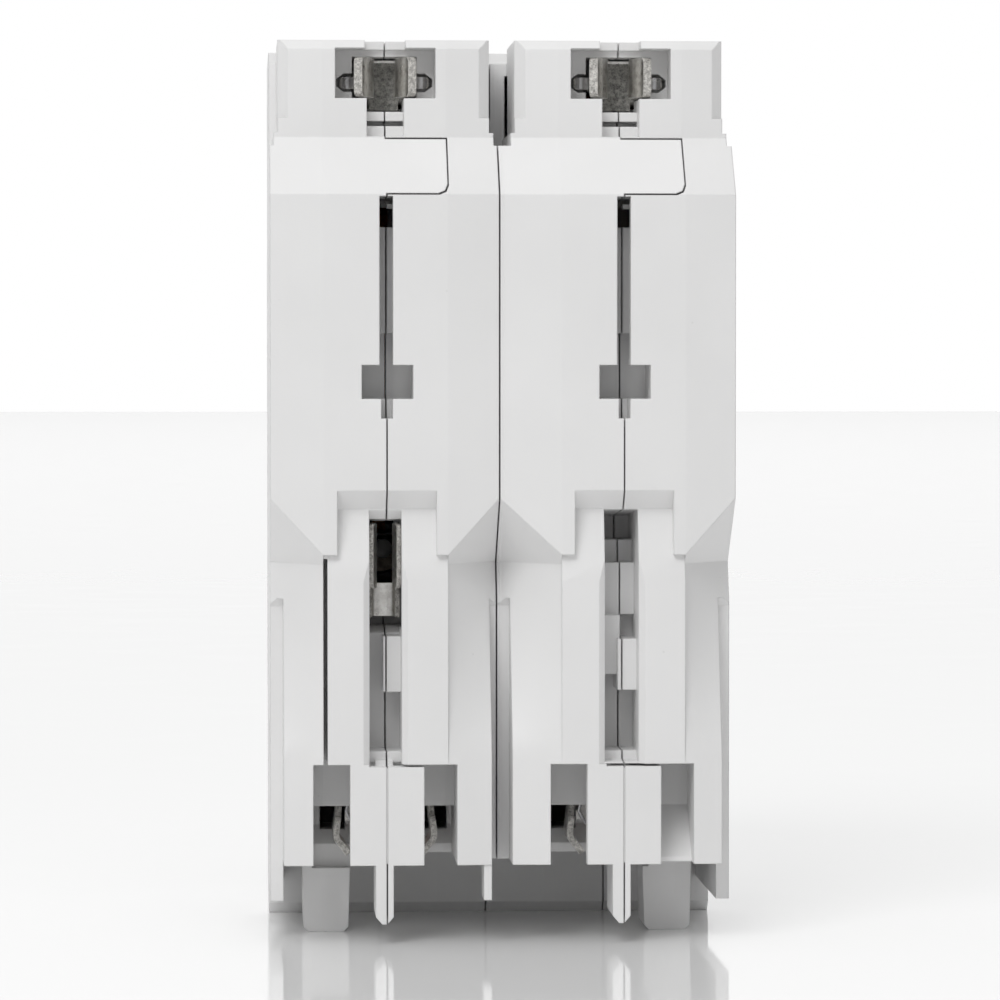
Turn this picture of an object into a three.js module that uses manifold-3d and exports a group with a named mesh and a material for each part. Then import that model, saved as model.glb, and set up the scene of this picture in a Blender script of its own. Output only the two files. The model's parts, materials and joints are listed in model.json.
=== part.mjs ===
// Two-pole plug-on ground-fault circuit breaker, standing on its load end.
// Millimetres, +Z up. The plug-on rear faces -Y and the toggle handles face +Y.
// Inside a pole, x is the offset from its seam, y the depth behind the rear face, z the height.
import * as THREE from 'three';
import { mergeVertices } from 'three/addons/utils/BufferGeometryUtils.js';
import Module from 'manifold-3d';

const wasm = await Module();
wasm.setup();

// ---- driving dimensions ----
const PITCH = 25.4;
const HEIGHT = 97;
const DEPTH = 74;
const CASE_DEPTH = 59;
const NOSE_DEPTH = 65;
const WALL = 1.6;
const SEAM_GAP = 0.15;
const FIT_GAP = 0.3;
const POLES = {
  a: { seam: -12.45, left: -12.45, right: 11.97, headLeft: -11.6, headRight: 11.2,
    barLeft: -6.8, slotLeft: -1.88, slotRight: 1.58, stripLeft: 1.4, stripRight: 0.75 },
  b: { seam: -12.45 + PITCH, left: -13.27, right: 11.95, headLeft: -11.45, headRight: 11,
    barLeft: -6.7, slotLeft: -2.07, slotRight: 1.57, stripLeft: 1.3, stripRight: 1.4 },
};
const BAR_RIGHT = 6.55;
const BAR_TOP = 41.7;
const PLATE_TOP = 19.3;
const BODY_FLOOR = 8.5;
const WINDOW = { left: -7.9, right: 7.5, plate: 3.96 };
const MID_BLOCK = 30;
const ARM_PIVOT = { y: 44, z: 56 };
const ARM_OPEN = 20;
const HANDLE_PIVOT = { y: 54, z: 50 };
const HANDLE_OFF = 20;
const LEVER_PIVOT = { y: 40, z: 71 };
const ARMATURE_PIVOT = { y: 36.6, z: 43.5 };
const TRIP_BAR = { y: 44, z: 38, radius: 1.5 };
const SOLENOID = { x: 5, y: 51, radius: 4.8 };
const BUTTON = { y: 63, z: 32 };
const LIGHT = { x: -7, z: 38.5 };
const LEAD = { y: 27, z: 42, radius: 1.1 };
const RIVETS = {
  rivet_upper_rear: { y: 16, z: 72 },
  rivet_lower_rear: { y: 22, z: 20 },
  rivet_top_front: { y: 54, z: 90 },
  rivet_bottom: { y: 38, z: 6 },
};
const RIVET_RADIUS = 1.3;
const RIVET_HEAD = { radius: 2.6, height: 1 };

// ---- materials ----
const PAINTS = {
  plastic: { color: 0xe4e4e2, roughness: 0.45, metalness: 0 },
  tin: { color: 0xb9b6b0, roughness: 0.35, metalness: 1 },
  steel: { color: 0xa9abad, roughness: 0.3, metalness: 1 },
  copper: { color: 0xb87350, roughness: 0.35, metalness: 1 },
  silver: { color: 0xd6d6d2, roughness: 0.25, metalness: 1 },
  bimetal: { color: 0x9a8f80, roughness: 0.4, metalness: 1 },
  fibre: { color: 0x8a4a35, roughness: 0.7, metalness: 0 },
  board: { color: 0x2f5d3a, roughness: 0.5, metalness: 0 },
  dark: { color: 0x2b2b2d, roughness: 0.5, metalness: 0 },
  blue: { color: 0x2f4f8f, roughness: 0.5, metalness: 0 },
  yellow: { color: 0xd9b53a, roughness: 0.45, metalness: 0 },
  lens: { color: 0x7fd08a, roughness: 0.2, metalness: 0 },
};

// ---- solids ----
const toSolid = (geometry) => {
  const bare = new THREE.BufferGeometry();
  bare.setAttribute('position', geometry.getAttribute('position'));
  bare.setIndex(geometry.getIndex());
  const merged = mergeVertices(bare);
  const vertProperties = new Float32Array(merged.getAttribute('position').array);
  const triVerts = new Uint32Array(merged.getIndex().array);
  return new wasm.Manifold(new wasm.Mesh({ numProp: 3, vertProperties, triVerts }));
};

const toGeometry = (solid) => {
  const mesh = solid.getMesh();
  const geometry = new THREE.BufferGeometry();
  geometry.setAttribute('position', new THREE.BufferAttribute(mesh.vertProperties, 3));
  geometry.setIndex(new THREE.BufferAttribute(mesh.triVerts, 1));
  const flat = geometry.toNonIndexed();
  flat.computeVertexNormals();
  return flat;
};

const join = (...solids) => solids.reduce((sum, solid) => sum.add(solid));
const cut = (solid, ...tools) => tools.reduce((rest, tool) => rest.subtract(tool), solid);

// Turns a shape's own x, y and extrusion directions into the part's, for each extrusion axis.
const BASES = {
  x: new THREE.Matrix4().makeBasis(
    new THREE.Vector3(0, 1, 0), new THREE.Vector3(0, 0, 1), new THREE.Vector3(1, 0, 0)),
  y: new THREE.Matrix4().makeBasis(
    new THREE.Vector3(0, 0, 1), new THREE.Vector3(1, 0, 0), new THREE.Vector3(0, 1, 0)),
  z: new THREE.Matrix4(),
};

// An outline is in (y, z) for axis x, (x, z) for axis y and (x, y) for axis z.
const extrude = (axis, outline, from, to) => {
  const points = outline.map(([a, b]) => (axis === 'y' ? new THREE.Vector2(b, a) : new THREE.Vector2(a, b)));
  const shape = new THREE.Shape(points);
  const geometry = new THREE.ExtrudeGeometry(shape, { depth: to - from, bevelEnabled: false });
  geometry.translate(0, 0, from);
  geometry.applyMatrix4(BASES[axis]);
  return toSolid(geometry);
};

const block = ([x0, x1], [y0, y1], [z0, z1]) => {
  const geometry = new THREE.BoxGeometry(x1 - x0, y1 - y0, z1 - z0);
  geometry.translate((x0 + x1) / 2, (y0 + y1) / 2, (z0 + z1) / 2);
  return toSolid(geometry);
};

const circle = (a, b, radius, sides = 16) => Array.from({ length: sides }, (_, k) => {
  const angle = (2 * Math.PI * (k + 0.5)) / sides;
  return [a + radius * Math.cos(angle), b + radius * Math.sin(angle)];
});

const rod = (axis, [a, b], radius, from, to, sides = 16) =>
  extrude(axis, circle(a, b, radius, sides), from, to);

// A strip of sheet of one thickness along a polyline, given as an outline.
const strip = (points, thickness) => {
  const half = thickness / 2;
  const normals = points.slice(1).map(([a, b], k) => {
    const [pa, pb] = points[k];
    const length = Math.hypot(a - pa, b - pb);
    return [-(b - pb) / length, (a - pa) / length];
  });
  const side = (sign) => points.map(([a, b], k) => {
    const before = normals[Math.max(k - 1, 0)];
    const after = normals[Math.min(k, normals.length - 1)];
    const scale = (sign * half) / (1 + before[0] * after[0] + before[1] * after[1]);
    return [a + (before[0] + after[0]) * scale, b + (before[1] + after[1]) * scale];
  });
  return [...side(1), ...side(-1).reverse()];
};

// A solid skinned through outlines with equal point counts at stations along x, low x first.
const loft = (stations) => {
  const flat = (outline) => outline.map(([y, z]) => new THREE.Vector2(y, z));
  const clockwise = THREE.ShapeUtils.isClockWise(flat(stations[0].outline));
  const rings = stations.map(({ x, outline }) => ({ x, outline: clockwise ? [...outline].reverse() : outline }));
  const count = rings[0].outline.length;
  const position = rings.flatMap(({ x, outline }) => outline.flatMap(([y, z]) => [x, y, z]));
  const index = [];
  for (let ring = 0; ring + 1 < rings.length; ring += 1) {
    for (let k = 0; k < count; k += 1) {
      const a = ring * count + k;
      const b = ring * count + ((k + 1) % count);
      index.push(a, b, b + count, a, b + count, a + count);
    }
  }
  const last = (rings.length - 1) * count;
  THREE.ShapeUtils.triangulateShape(flat(rings[0].outline), []).forEach(([a, b, c]) => {
    index.push(c, b, a, last + a, last + b, last + c);
  });
  const geometry = new THREE.BufferGeometry();
  geometry.setAttribute('position', new THREE.Float32BufferAttribute(position, 3));
  geometry.setIndex(index);
  return toSolid(geometry);
};

const tube = (curve, radius, steps, sides) => {
  const shape = new THREE.Shape(circle(0, 0, radius, sides).map(([a, b]) => new THREE.Vector2(a, b)));
  return toSolid(new THREE.ExtrudeGeometry(shape, { extrudePath: curve, steps, bevelEnabled: false }));
};

// A coil spring between two points, as a swept round wire.
const coil = (start, end, radius, wire, turns) => {
  const path = new THREE.Curve();
  const axis = end.clone().sub(start);
  const across = new THREE.Vector3(1, 0, 0);
  const up = axis.clone().normalize().cross(across);
  path.getPoint = (t, target = new THREE.Vector3()) => {
    const angle = 2 * Math.PI * turns * t;
    return target.copy(start).addScaledVector(axis, t)
      .addScaledVector(across, radius * Math.cos(angle))
      .addScaledVector(up, radius * Math.sin(angle));
  };
  return tube(path, wire, Math.round(turns * 8), 5);
};

// Turns a solid about an x axis through a pivot, by degrees.
const swing = (solid, pivot, degrees) => {
  const geometry = toGeometry(solid);
  geometry.translate(0, -pivot.y, -pivot.z);
  geometry.rotateX(THREE.MathUtils.degToRad(degrees));
  geometry.translate(0, pivot.y, pivot.z);
  return toSolid(geometry);
};

// ---- scene graph ----
const breaker = new THREE.Group();
const addNode = (group, name, paint, solid) => {
  const mesh = new THREE.Mesh(toGeometry(solid), new THREE.MeshStandardMaterial(PAINTS[paint]));
  mesh.name = name;
  group.add(mesh);
};

// ---- case ----
const sideOutline = (tilt) => [
  [tilt, BODY_FLOOR], [MID_BLOCK, BODY_FLOOR], [MID_BLOCK, 1.2], [MID_BLOCK + 1.2, 0],
  [CASE_DEPTH - 1, 0], [CASE_DEPTH, 1], [CASE_DEPTH, 22], [NOSE_DEPTH - 0.8, 24], [NOSE_DEPTH, 25],
  [NOSE_DEPTH, 73], [NOSE_DEPTH - 0.8, 74], [CASE_DEPTH, 76], [CASE_DEPTH, HEIGHT - 1],
  [CASE_DEPTH - 1, HEIGHT], [6.6, HEIGHT], [5.5 + tilt, HEIGHT - 1], [5.5 + tilt, 86.5], [tilt, 80.2],
];

const outerBody = ({ left, right }) => {
  const crease = 6.6;
  const tilt = 0.3;
  return loft([
    { x: left, outline: sideOutline(tilt) },
    { x: -crease, outline: sideOutline(0) },
    { x: crease, outline: sideOutline(0) },
    { x: right, outline: sideOutline(tilt) },
  ]);
};

// The slanted recess beside the bars: its floor twists from shallow at the bar to deep at the edge.
const between = ([a0, b0], [a1, b1], rows) => Array.from({ length: rows - 1 }, (_, k) => [
  THREE.MathUtils.lerp(a0, a1, (k + 1) / rows),
  THREE.MathUtils.lerp(b0, b1, (k + 1) / rows),
]);

const sideRecess = (bar, edge) => {
  const steps = 7;
  const outward = Math.sign(edge - bar);
  const span = Math.abs(edge - bar);
  const stations = Array.from({ length: steps + 1 }, (_, k) => {
    const t = (k / steps) * ((span + 0.6) / span);
    const roof = THREE.MathUtils.lerp(BAR_TOP, 48, t);
    const depth = THREE.MathUtils.lerp(1.3, 8.5, t);
    return {
      x: bar + outward * span * t,
      outline: [
        [-1, roof + 1], [0, roof], ...between([0, roof], [depth, 40.7], 2), [depth, 40.7],
        ...between([depth, 40.7], [0, PLATE_TOP - 0.3], 7), [0, PLATE_TOP - 0.3], [-1, PLATE_TOP - 1.2],
      ],
    };
  });
  return loft(outward > 0 ? stations : stations.reverse());
};

// The stepped-back strips along the pole's lower edges.
const edgeRebates = ({ left, right, stripLeft, stripRight }) => {
  const outline = [[-1, -1], [6.9, -1], [6.9, 36], [6.2, 36.8], [-1, 36.8]];
  return join(
    extrude('x', outline, left - 1, left + stripLeft),
    extrude('x', outline, right - stripRight, right + 1),
  );
};

const headTrim = ({ left, right, headLeft, headRight }) => {
  const back = 22;
  const top = HEIGHT + 1;
  const chamfer = (edge, outward) => extrude('z', [
    [edge - outward * 1.3, 4.5], [edge + outward, 4.5], [edge + outward, 7.8],
    [edge, 6.8], [edge - outward * 1.3, 5.5],
  ], 88.6, top);
  return join(
    block([left - 1, headLeft], [-1, back], [87, top]),
    block([headRight, right + 1], [-1, back], [87, top]),
    block([left - 1, headLeft - 0.45], [-1, back], [85.6, top]),
    block([headRight + 0.45, right + 1], [-1, back], [85.6, top]),
    block([left - 1, right + 1], [back - 1, MID_BLOCK - 2], [95.5, top]),
    chamfer(headLeft, -1),
    chamfer(headRight, 1),
  );
};

const barRecess = ({ barLeft }) => join(
  extrude('x', [[-1, 48.6], [0, 48.6], [2, 46.6], [0.75, BAR_TOP], [-1, BAR_TOP]], -5.3, 5.3),
  extrude('x', [[-1, BAR_TOP + 0.01], [0.75, BAR_TOP + 0.01], [0, 38.8], [-1, 38.8]], barLeft, BAR_RIGHT),
);

const plugSlot = (name, { slotLeft, slotRight }) => {
  const lip = name === 'a' ? 45.5 : 46.5;
  const bevel = 0.64;
  const bevelOutline = [
    [slotLeft - bevel - 1, -1], [slotRight + bevel + 1, -1], [slotRight, bevel], [slotLeft, bevel],
  ];
  const stepped = name === 'a'
    ? [[-1, PLATE_TOP], [3.2, PLATE_TOP], [3.2, 20.5], [8.5, 20.5], [8.5, 33], [14.8, 34.5], [14.8, lip - 1],
      [3, lip], [1.8, 46.6], [-1, 46.6]]
    : [[-1, PLATE_TOP + 0.2], [3.2, PLATE_TOP + 0.2], [3.2, 20.5], [9, 20.5], [9, 34.8], [7, 35], [7, 40.6],
      [10, 40.6], [10, 43], [14.8, 43], [14.8, lip - 1], [3, lip], [-1, lip]];
  return join(
    extrude('x', stepped, slotLeft, slotRight),
    extrude('z', bevelOutline, PLATE_TOP, 41),
  );
};

// Small ledges left standing inside each plug slot.
const slotLedges = (name) => (name === 'a'
  ? block([-0.3, 2], [4.5, 9], [26.8, 32.8])
  : join(block([-0.45, 2], [3.6, 9.5], [27, 32.5]), block([-2.4, -0.1], [5.2, 9.5], [28.6, 35])));

const jawChamber = () => join(
  block([-2.4, 2.1], [2.6, 14.8], [33.6, 45.2]),
  block([-1.5, 1.2], [14, 18], [37, 45]),
);

const topSlot = () => join(
  block([-0.8, 0.65], [-1, 3], [60, 80]),
  block([-2.7, 2.8], [-1, 7], [58.4, 62]),
  block([-2.7, 2.8], [3, 7], [60, 65.4]),
  block([-0.62, 0.62], [-1, 4.2], [56.3, 60]),
  block([-2.7, 2.8], [1.8, 4], [62.6, 80]),
  cut(block([-2.7, 2.8], [3.4, 12.2], [76.8, 79.9]), block([0.1, 3.2], [3.5, 6], [78.8, 79.3])),
);

const jawPocket = () => {
  const stadium = [[-4.4, 91.6], [4.4, 91.6], [5.2, 92.2], [5.2, 93],
    [4.4, 93.6], [-4.4, 93.6], [-5.2, 93], [-5.2, 92.2]];
  return join(
    block([-5.4, 5.4], [4, 9.6], [90.7, 96.1]),
    block([-3.5, 3.5], [4, 17], [90.7, 95.4]),
    extrude('y', stadium, 5, 13.5),
    block([-2.2, 2.2], [4, 9], [95, HEIGHT + 1]),
    block([-2, 2], [2, 8.6], [88.3, 91]),
    block([-2, 2], [2, 7.6], [86.6, 87.9]),
    block([-2, 2], [2, 11], [87.8, 88.4]),
    block([-2, 2], [8, 14.5], [89.4, 91]),
    block([-2.9, 2.9], [12.6, 21], [90, 92]),
  );
};

// The load end: two windows beside a centre plate, and the clip pocket behind them.
const loadPocket = (name, { barLeft }) => {
  const outline = [[2.2, 7], [13.9, 7], [13.9, 9.5], [15.5, 11.5], [15.5, 17.5], [9.4, 17.5], [9.4, 14.2],
    [8, 14.2], [8, PLATE_TOP], [2.2, PLATE_TOP]];
  const pocketRight = name === 'a' ? WINDOW.right : WINDOW.plate - 0.3;
  const ramp = [[-1, 7], [2.5, 7], [3, 9], [8, 14.2], [8, PLATE_TOP], [-1, PLATE_TOP]];
  const pieces = [
    extrude('x', outline, WINDOW.left, pocketRight),
    block([WINDOW.left, -WINDOW.plate], [-1, 2.3], [7, PLATE_TOP]),
    block([-1.9, WINDOW.plate], [-1, 2.3], [19.05, PLATE_TOP]),
    block([-3.4, 3.4], [15, 18], [11.6, 13.4]),
    block([-7, -4.2], [15, 18], [11, 16.5]),
  ];
  if (name === 'a') {
    pieces.push(block([WINDOW.plate, WINDOW.right], [-1, 2.3], [7, PLATE_TOP]));
    pieces.push(block([4.2, 7], [15, 18], [11, 16.5]));
    pieces.push(block([barLeft, -6.36], [-1, 5], [PLATE_TOP, 41.3]));
  } else {
    pieces.push(extrude('x', ramp, WINDOW.plate, WINDOW.right));
  }
  return join(...pieces);
};

const prongOutline = [
  [-1.23, PLATE_TOP + 0.3], [0.68, PLATE_TOP + 0.3], [0.68, 3], [0, 2.2], [-0.55, 2.2], [-1.23, 3],
];

const caseExtras = (name, { left, right }) => {
  const foot = name === 'a' ? [-9.05, -3.65] : [2.95, 8.45];
  const taper = 0.25;
  const footOutline = [
    [foot[0] + taper, 0.5], [foot[0] + 0.5 + taper, 0], [foot[1] - 0.5 - taper, 0], [foot[1] - taper, 0.5],
    [foot[1], BODY_FLOOR + 0.5], [foot[0], BODY_FLOOR + 0.5],
  ];
  const pieces = [
    extrude('y', prongOutline, 0, 8.2),
    cut(extrude('y', footOutline, 12.6, 20), block([-20, 20], [12, 13.95], [BODY_FLOOR - 0.01, 12])),
  ];
  const skirt = name === 'a' ? [left, left + 1.4] : [right - 1.4, right];
  pieces.push(block(skirt, [6.9, MID_BLOCK + 0.5], [4, BODY_FLOOR + 0.5]));
  if (name === 'a') pieces.push(block([right - 1.6, right - 0.25], [0.4, 5.5], [4.7, BODY_FLOOR + 0.5]));
  return join(...pieces);
};

const cavity = ({ left, right }) => {
  const main = [
    [WALL + 0.2, 50], [17.5, 50], [17.5, 10.2], [MID_BLOCK + WALL, 10.2], [MID_BLOCK + WALL, 2 * WALL],
    [CASE_DEPTH - WALL, 2 * WALL], [CASE_DEPTH - WALL, 24], [NOSE_DEPTH - WALL, 26], [NOSE_DEPTH - WALL, 72],
    [CASE_DEPTH - WALL, 74], [CASE_DEPTH - WALL, HEIGHT - WALL], [20, HEIGHT - 3], [20, 84.4], [6.8, 84.4],
    [WALL + 0.2, 78.6],
  ];
  const inside = [left + WALL, right - WALL];
  const behindRecess = [[10.6, 21], [18, 21], [18, 47], [10.6, 47]];
  const behindBar = [[2.8, 22], [11, 22], [11, 40], [4, 40]];
  const open = join(
    extrude('x', main, ...inside),
    extrude('x', behindRecess, inside[0], -3.8),
    extrude('x', behindRecess, 3.8, inside[1]),
    extrude('x', behindBar, -5.4, -3.8),
    extrude('x', behindBar, 3.8, 5.4),
  );
  return cut(open, block([-4.3, 4.4], [0, 10.6], [50, 84]));
};

const frontOpenings = (name) => {
  const pieces = [block([-3.7, 3.7], [56, 67], [HANDLE_PIVOT.z - 8.5, HANDLE_PIVOT.z + 8.5])];
  if (name === 'b') {
    const half = 3.5 + FIT_GAP;
    pieces.push(block([-half, half], [60, 67], [BUTTON.z - half, BUTTON.z + half]));
    pieces.push(rod('y', [LIGHT.x, LIGHT.z], 1.7, 60, 67, 12));
  } else {
    pieces.push(block([-9, 9], [NOSE_DEPTH - 0.4, 67], [27, 39]));
  }
  return join(...pieces);
};

const rivetBosses = ({ left, right }) => join(...Object.values(RIVETS).map(
  ({ y, z }) => rod('x', [y, z], 2.9, left + 0.5, right - 0.5, 12)));

const rivetHoles = (name, { left, right }) => join(...Object.values(RIVETS).flatMap(({ y, z }) => {
  const hole = rod('x', [y, z], RIVET_RADIUS + FIT_GAP, left - 1, right + 1, 12);
  const seat = name === 'a' ? [left - 1, left + 1.3] : [right - 1.3, right + 1];
  return [hole, rod('x', [y, z], RIVET_HEAD.radius + FIT_GAP, ...seat)];
}));

// Posts that carry a shaft's ends: solid from the side wall to a gap beside the moving piece.
const pivotPosts = ({ left, right }) => {
  const post = ({ y, z }, radius, from, to) => rod('x', [y, z], radius, from, to, 12);
  const posts = [
    post(ARM_PIVOT, 2.4, left + 1, -3.2), post(ARM_PIVOT, 2.4, 3.2, right - 1),
    post(HANDLE_PIVOT, 2.8, left + 1, -3.5), post(HANDLE_PIVOT, 2.8, 3.5, right - 1),
    post(LEVER_PIVOT, 2.2, 6, right - 1),
    post(ARMATURE_PIVOT, 1.9, left + 1, -5), post(ARMATURE_PIVOT, 1.9, 5, right - 1),
  ];
  const holes = [
    post(ARM_PIVOT, 1.5, -6.2, 6.2), post(HANDLE_PIVOT, 1.8, -6.2, 6.2),
    post(LEVER_PIVOT, 1.3, 5, 8.2), post(ARMATURE_PIVOT, 1.1, -7.2, 7.2),
  ];
  return { solid: join(...posts), holes: join(...holes) };
};

const wiringHoles = (name, { left, right }) => {
  const wall = name === 'a' ? [right - 3, right + 1] : [left - 1, left + 3];
  return join(
    rod('x', [TRIP_BAR.y, TRIP_BAR.z], TRIP_BAR.radius + 0.25, ...wall, 16),
    rod('x', [LEAD.y, LEAD.z], LEAD.radius + 0.4, ...wall, 12),
  );
};

// The left shell's flap that laps over the right shell on the sloped band.
const flap = (grow) => {
  const right = 6.5 + grow;
  const outline = [[-3, 80.3 - grow], [WALL, 80.3 - grow], [WALL + 5.4 + grow, 86.3 + grow],
    [4, 86.3 + grow], [-3, 86.3 + grow]];
  const corner = extrude('y', [
    [-1, 80.3 - grow], [right - 1, 80.3 - grow], [right - 0.3, 80.6 - grow], [right, 81.3 - grow],
    [right, 86.3 + grow], [-1, 86.3 + grow],
  ], -4, 9);
  return extrude('x', outline, -1, right).intersect(corner);
};

const poleCase = (name) => {
  const pole = POLES[name];
  const posts = pivotPosts(pole);
  let body = join(outerBody(pole), caseExtras(name, pole));
  body = cut(body, headTrim(pole), sideRecess(pole.barLeft, pole.left), sideRecess(BAR_RIGHT, pole.right));
  body = cut(body, edgeRebates(pole), barRecess(pole), cavity(pole));
  body = cut(body, plugSlot(name, pole), topSlot(), jawPocket(), loadPocket(name, pole), frontOpenings(name));
  if (name === 'a') body = cut(body, jawChamber());
  body = join(body, slotLedges(name), extrude('y', prongOutline, 2.2, 8.2), rivetBosses(pole), posts.solid);
  body = cut(body, rivetHoles(name, pole), posts.holes, wiringHoles(name, pole));
  const far = 40;
  const leftSide = block([-far, -SEAM_GAP / 2], [-10, 90], [-10, 110]).add(flap(0));
  const rightSide = block([SEAM_GAP / 2, far], [-10, 90], [-10, 110]).subtract(flap(SEAM_GAP));
  return { left: body.intersect(leftSide), right: body.intersect(rightSide) };
};

// ---- line end ----
const lineJaw = () => {
  const lyre = (side) => [[side * 2.8, 6.1], [side * 1.75, 7], [side * 1.38, 8], [side * 1.55, 9.4],
    [side * 2.3, 11], [side * 2.3, 13.4]];
  const cheeks = extrude('z', strip([...lyre(-1), ...lyre(1).reverse()], 0.8), 90.9, 95.2);
  const backPlate = block([-1.6, 1.6], [13, 13.8], [89.7, 95]);
  const strap = extrude('x', strip([[13.4, 90.9], [23.6, 90.9], [23.6, 79.5]], 1), -2.5, 2.5);
  return join(cheeks, backPlate, cut(strap, block([-9, 9], [0, 12.9], [80, 100])));
};

const jawSpring = () => {
  const half = (side) => [[side * 4.6, 9.9], [side * 3.7, 10.2], [side * 3.05, 10.9], [side * 3.05, 14.4]];
  return extrude('z', strip([...half(-1), ...half(1).reverse()], 0.35), 91.9, 93.3);
};

const fixedContact = () => rod('y', [0, 81.5], 1.8, 24.4, 25.6, 16);

// ---- switched contact ----
const contactArm = () => {
  const blade = [[ARM_PIVOT.y - 2.2, ARM_PIVOT.z - 2.6], [ARM_PIVOT.y + 2.4, ARM_PIVOT.z - 1.6],
    [ARM_PIVOT.y + 2, ARM_PIVOT.z + 2.4], [33, 76], [30, 84], [28.2, 84], [28.2, 79.5], [36, 65]];
  const arm = join(
    extrude('x', blade, -1.2, 1.2),
    rod('x', [ARM_PIVOT.y, ARM_PIVOT.z], 1.2, -5.8, 5.8, 14),
  );
  return swing(arm, ARM_PIVOT, -ARM_OPEN);
};

const movingContact = () => swing(rod('y', [0, 81.5], 1.6, 26.7, 27.9, 16), ARM_PIVOT, -ARM_OPEN);

const arcChute = () => {
  const plates = Array.from({ length: 5 }, (_, k) => {
    const y = 28.5 + 2.9 * k;
    const plate = block([-7.2, 7.2], [y, y + 0.9], [80, 93]);
    return cut(plate, block([-3, 3], [y - 1, y + 2], [79, 90]));
  });
  const sides = [-7.6, 6.9].map((x) => block([x, x + 0.7], [27.6, 42.4], [79, 94]));
  return join(...plates, ...sides);
};

const tripLever = () => {
  const plate = [[LEVER_PIVOT.y - 2, LEVER_PIVOT.z + 1.4], [LEVER_PIVOT.y + 1.4, LEVER_PIVOT.z + 2],
    [51, 63], [51.6, 60.6], [49, 60.4], [43, 64.6], [40.4, 49.6], [37.6, 48.6], [38.2, 64]];
  return join(
    extrude('x', plate, 4.2, 5.3),
    rod('x', [LEVER_PIVOT.y, LEVER_PIVOT.z], 1, 4.2, 7.8, 14),
  );
};

const mainSpring = () => coil(new THREE.Vector3(2.9, 40.2, 69), new THREE.Vector3(2.9, 48.4, 62.6), 0.85, 0.22, 5);

// ---- load end ----
const bimetal = () => extrude('x', [[30, 13.4], [31, 13.4], [30.9, 42], [30, 42]], -3, 3);

const magnetYoke = () => {
  const outline = [[-5, 33.4], [-5, 26], [5, 26], [5, 33.4], [3.8, 33.4], [3.8, 27.2], [-3.8, 27.2], [-3.8, 33.4]];
  return extrude('z', outline, 24, 35);
};

const armature = () => join(
  block([-4.5, 4.5], [36, 37.2], [24, 42.8]),
  rod('x', [ARMATURE_PIVOT.y, ARMATURE_PIVOT.z], 0.8, -6.8, 6.8, 12),
);

const loadStrap = () => extrude('x', strip([[14.6, 12.5], [26, 12.5], [31.3, 12.5]], 1), -3, 3);

const clipArm = (side) => [[side * 3.9, 8.9], [side * 5.3, 10.7], [side * 4.95, 14.2], [side * 4.6, 16.3]];

const loadClip = (name) => {
  const right = name === 'a' ? clipArm(1).reverse() : [[2.9, 16.3]];
  const sheet = extrude('y', strip([...clipArm(-1), ...right], 0.72), 7.6, 13.3);
  const back = block([-4.4, 2.9], [13, 13.8], [12, 16.6]);
  return join(cut(sheet, block([-9, 9], [7, 9.75], [13.85, 18])), back);
};

const clipSpring = (name) => {
  const arm = (side) => [[side * 3.4, 11.9], [side * 4.2, 13.4], [side * 3.8, 15.1]];
  const right = name === 'a' ? arm(1).reverse() : [[2.4, 15.1]];
  return extrude('y', strip([...arm(-1), ...right], 0.35), 9.8, 12.5);
};

const braid = () => {
  const points = [[42.2, 50.6], [39, 49], [34, 47.4], [31, 44.6], [30.5, 43.3]];
  const curve = new THREE.CatmullRomCurve3(points.map(([y, z]) => new THREE.Vector3(0, y, z)));
  return tube(curve, 0.8, 10, 8);
};

// ---- neutral ----
const neutralJaw = () => {
  const half = (side) => [[side * 1.45, 2.7], [side * 1.05, 4], [side * 1.05, 5],
    [side * 1.5, 6.6], [side * 1.5, 11]];
  const outline = strip([...half(-1), ...half(1).reverse()], 0.5).map(([x, y]) => [x - 0.15, y]);
  const legs = block([-3, 3], [2, 8.2], [33, 38]);
  const view = block([-1.4, 1.1], [8, 12], [38, 46]);
  return cut(extrude('z', outline, 34.6, 45), legs, view);
};

const neutralLead = () => {
  const points = [[-0.15, 11.6], [-0.15, 17], [-0.15, 22], [0.6, 26],
    [3.5, LEAD.y], [8, LEAD.y], [13.8, LEAD.y]];
  const curve = new THREE.CatmullRomCurve3(points.map(([x, y]) => new THREE.Vector3(x, y, LEAD.z)));
  return tube(curve, LEAD.radius, 14, 8);
};

const senseToroid = () => {
  const profile = [[3, -2.6], [5.2, -2.6], [5.2, 2.6], [3, 2.6]];
  const points = [...profile, profile[0]].map(([r, h]) => new THREE.Vector2(r, h));
  const geometry = new THREE.LatheGeometry(points, 28);
  geometry.translate(0, 21.4, 0);
  geometry.translate(-0.15, 0, LEAD.z);
  return toSolid(geometry);
};

// ---- handles ----
const LEVER_TIP = 2.5;
const offRadians = THREE.MathUtils.degToRad(HANDLE_OFF);
const LEVER_REACH = (DEPTH - HANDLE_PIVOT.y - LEVER_TIP * Math.sin(offRadians)) / Math.cos(offRadians);
const tiePinY = HANDLE_PIVOT.y + 16.5;

const handle = (side) => {
  const { y, z } = HANDLE_PIVOT;
  const lever = [[y, z - 3.4], [y + 11, z - 3.1],
    [y + LEVER_REACH - 0.8, z - LEVER_TIP], [y + LEVER_REACH, z - LEVER_TIP + 0.8],
    [y + LEVER_REACH, z + LEVER_TIP], [y + 11, z + 3.1], [y, z + 3.4]];
  const whole = join(
    rod('x', [y, z], 5.4, -3, 3, 28),
    extrude('x', lever, -3, 3),
    rod('x', [y, z], 1.5, -5.8, 5.8, 16),
  );
  const pinHole = rod('x', [tiePinY, z], 1.3, side > 0 ? 0.8 : -4, side > 0 ? 4 : -0.8, 16);
  return swing(cut(whole, pinHole), HANDLE_PIVOT, -HANDLE_OFF);
};

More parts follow.
